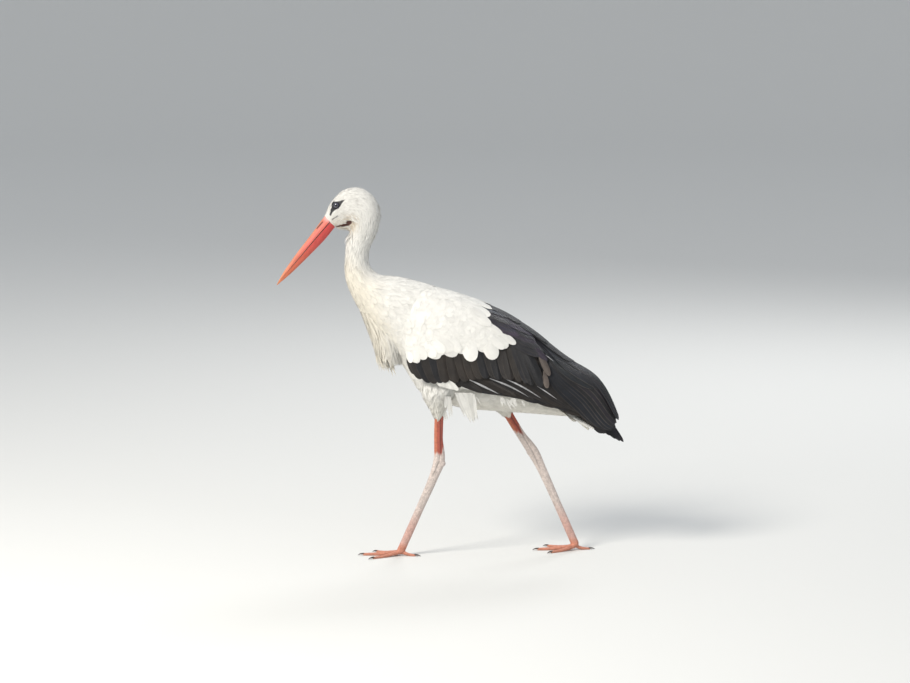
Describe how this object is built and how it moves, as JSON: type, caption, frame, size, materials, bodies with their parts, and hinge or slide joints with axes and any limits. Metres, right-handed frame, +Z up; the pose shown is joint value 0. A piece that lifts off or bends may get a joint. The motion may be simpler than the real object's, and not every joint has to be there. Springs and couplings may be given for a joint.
{
  "type": "white stork",
  "caption": "Life-size still model of an adult white stork in mid-stride: bill lowered, wings folded, one leg forward and one back.",
  "frame": {"origin": "on the floor, under the middle of the bird's outline seen from above", "axes": "+Z up; the bird faces -X, with its left side towards -Y"},
  "size_m": [0.764, 0.1928, 0.816],
  "materials": {
    "white_plumage": "matt feathers, standing in for plumage over the body",
    "black_plumage": "slightly glossy black flight feathers",
    "red_horn": "satin horn of the bill",
    "leg_skin": "scaled bare skin, red to chalky white",
    "dark_horn": "satin horn of the claws",
    "eye_surface": "glossy dark eye"
  },
  "bodies": {
    "root": {"head": "white_plumage", "neck_upper": "white_plumage", "neck_lower": "white_plumage", "trunk": "white_plumage", "breast_plumes": "white_plumage", "tail": "white_plumage", "eye_left": "eye_surface", "wing_left_coverts": "white_plumage", "wing_left_greater_coverts": "black_plumage", "wing_left_tertials": "black_plumage", "wing_left_secondaries": "black_plumage", "wing_left_primaries": "black_plumage", "thigh_left": "white_plumage", "tibia_left": "leg_skin", "tarsus_left": "leg_skin", "foot_left": "leg_skin", "claw_left_inner": "dark_horn", "claw_left_middle": "dark_horn", "claw_left_outer": "dark_horn", "claw_left_hind": "dark_horn", "eye_right": "eye_surface", "wing_right_coverts": "white_plumage", "wing_right_greater_coverts": "black_plumage", "wing_right_tertials": "black_plumage", "wing_right_secondaries": "black_plumage", "wing_right_primaries": "black_plumage", "thigh_right": "white_plumage", "tibia_right": "leg_skin", "tarsus_right": "leg_skin", "foot_right": "leg_skin", "claw_right_inner": "dark_horn", "claw_right_middle": "dark_horn", "claw_right_outer": "dark_horn", "claw_right_hind": "dark_horn", "bill_upper": "red_horn", "bill_lower": "red_horn"}
  },
  "joints": []
}
